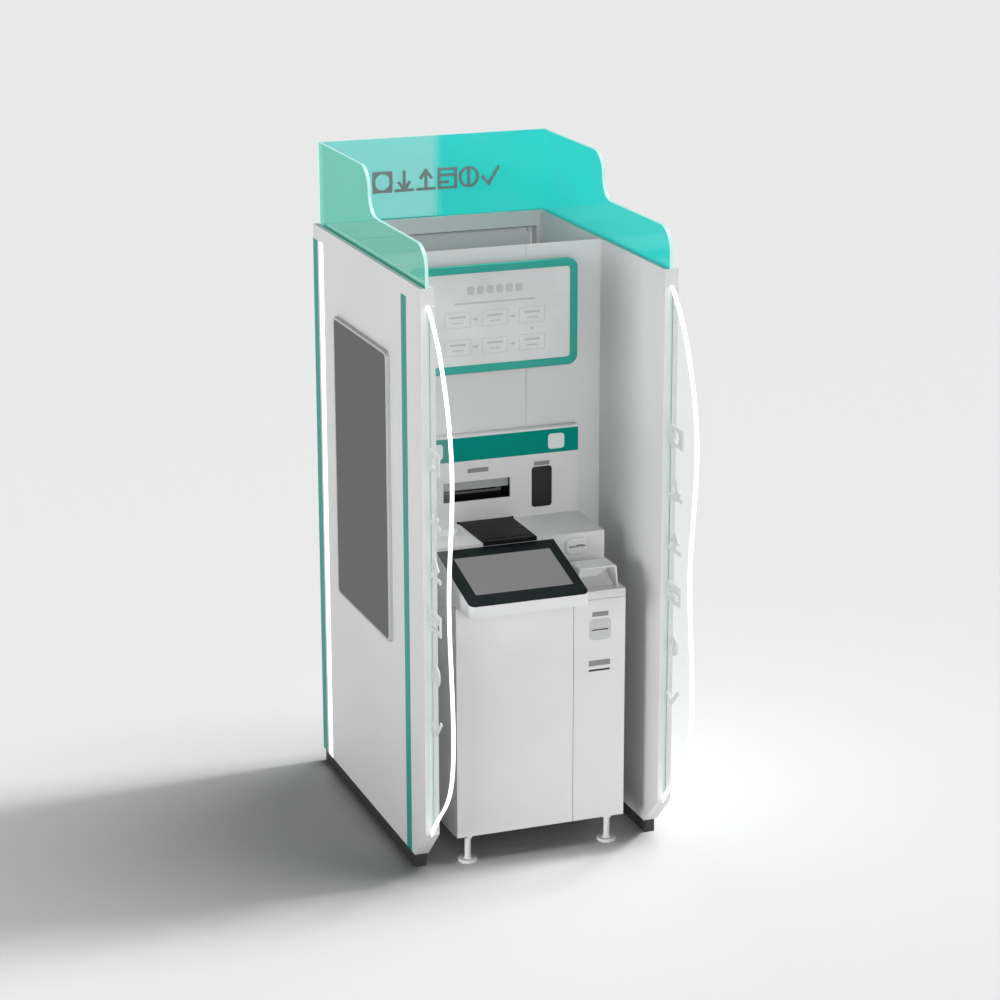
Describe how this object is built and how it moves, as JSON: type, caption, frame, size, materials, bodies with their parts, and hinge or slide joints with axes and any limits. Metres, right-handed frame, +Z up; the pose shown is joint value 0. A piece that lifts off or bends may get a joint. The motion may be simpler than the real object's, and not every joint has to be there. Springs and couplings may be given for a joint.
{
  "type": "atm machine",
  "caption": "Free-standing cash deposit and withdrawal machine in an open-fronted booth with wavy clear side fins, tinted glass header, sloping touch console, lit board and side display.",
  "frame": {"origin": "on the floor under the centre of the bounding box", "axes": "+Z up; the customer stands on the -Y side and looks along +Y; +X to the customer's right"},
  "size_m": [0.9376, 1.4627, 2.4],
  "materials": {
    "white_panel": "satin powder coat",
    "frame_steel": "matt",
    "plinth_board": "matt",
    "teal_strip": "gloss",
    "white_light": "lit diffuser",
    "fin_acrylic": "clear, polished",
    "white_sign": "satin",
    "header_glass": "tinted, polished",
    "channel_alu": "brushed",
    "sign_metal": "satin",
    "rear_panel": "satin powder coat",
    "hardware_steel": "satin",
    "fascia_panel": "satin powder coat",
    "teal_paint": "satin",
    "board_diffuser": "translucent, printed with boxes and arrows",
    "display_frame": "satin",
    "display_screen": "switched off, satin",
    "machine_white": "satin",
    "teal_band": "gloss",
    "pale_lens": "frosted",
    "grey_label": "matt",
    "dark_plastic": "matt",
    "grey_shutter": "satin",
    "scanner_glass": "dark, polished",
    "module_metal": "matt",
    "black_lid": "satin",
    "keypad_metal": "satin",
    "white_plastic": "satin",
    "bezel_black": "satin",
    "touch_glass": "switched off, satin",
    "safe_steel": "matt",
    "cassette_plastic": "matt"
  },
  "bodies": {
    "booth": {"left_fin": "fin_acrylic", "right_fin": "fin_acrylic", "fin_lights": "white_light", "left_wall": "white_panel", "right_wall": "white_panel", "fin_clamps": "white_panel", "wall_frames": "frame_steel", "plinths": "plinth_board", "wall_trims": "teal_strip", "rear_lights": "white_light", "header_left": "header_glass", "header_right": "header_glass", "header_back": "header_glass", "header_channels": "channel_alu", "header_icons": "sign_metal", "fin_icons": "white_sign", "rear_frame": "rear_panel", "fascia_left": "fascia_panel", "fascia_right": "fascia_panel", "info_frame": "teal_paint", "info_panel": "board_diffuser", "info_case": "frame_steel", "ad_display_case": "display_frame", "ad_display_screen": "display_screen", "head_front": "machine_white", "head_band": "teal_band", "band_windows": "pale_lens", "head_labels": "grey_label", "scanner_window": "scanner_glass", "head_case": "machine_white", "cash_throat": "dark_plastic", "cash_recycler": "module_metal", "shelf": "machine_white", "pin_pad": "keypad_metal", "card_bezel": "white_plastic", "card_reader": "dark_plastic", "console_housing": "white_plastic", "console_bezel": "bezel_black", "touchscreen": "touch_glass", "cabinet_carcass": "machine_white", "door_pivots": "hardware_steel", "lid_pivots": "hardware_steel", "column_cap": "machine_white", "slip_hood": "white_plastic", "safe_body": "safe_steel", "safe_door": "safe_steel", "cash_cassettes": "cassette_plastic", "receipt_printer": "module_metal", "slip_printer": "module_metal", "computer": "module_metal", "power_inlet": "dark_plastic", "levelling_feet": "white_plastic"},
    "rear_door": {"rear_door": "rear_panel"},
    "rear_handle": {"rear_handle": "hardware_steel"},
    "cabinet_door": {"cabinet_door": "machine_white"},
    "column_door": {"column_door": "machine_white", "receipt_bezel": "white_plastic", "column_labels": "grey_label"},
    "cash_shutter": {"cash_shutter": "grey_shutter"},
    "keypad_lid": {"keypad_lid": "black_lid"}
  },
  "joints": [
    {"name": "rear_door_hinge", "type": "hinge", "parent": "booth", "child": "rear_door", "pos_m": [0.39025, 0.7059, 0.091], "axis": [0, 0, -1], "range_deg": [0, 95]},
    {"name": "rear_handle_turn", "type": "hinge", "parent": "rear_door", "child": "rear_handle", "pos_m": [-0.32675, 0.7149, 1.08], "axis": [0, 1, 0], "range_deg": [0, 45], "stiffness_Nm_per_rad": 0.6, "springref_deg": -28.65},
    {"name": "cabinet_door_hinge", "type": "hinge", "parent": "booth", "child": "cabinet_door", "pos_m": [-0.30075, -0.4021, 0.104], "axis": [0, 0, -1], "range_deg": [0, 95]},
    {"name": "column_door_hinge", "type": "hinge", "parent": "booth", "child": "column_door", "pos_m": [0.31325, -0.4021, 0.104], "axis": [0, 0, 1], "range_deg": [0, 95]},
    {"name": "cash_shutter_slide", "type": "slide", "parent": "booth", "child": "cash_shutter", "axis": [0, 0, 1], "range_m": [-0.0365, 0.036]},
    {"name": "keypad_lid_hinge", "type": "hinge", "parent": "booth", "child": "keypad_lid", "pos_m": [-0.03725, 0.0359, 1.1154], "axis": [-1, 0, 0], "range_deg": [0, 80]}
  ]
}
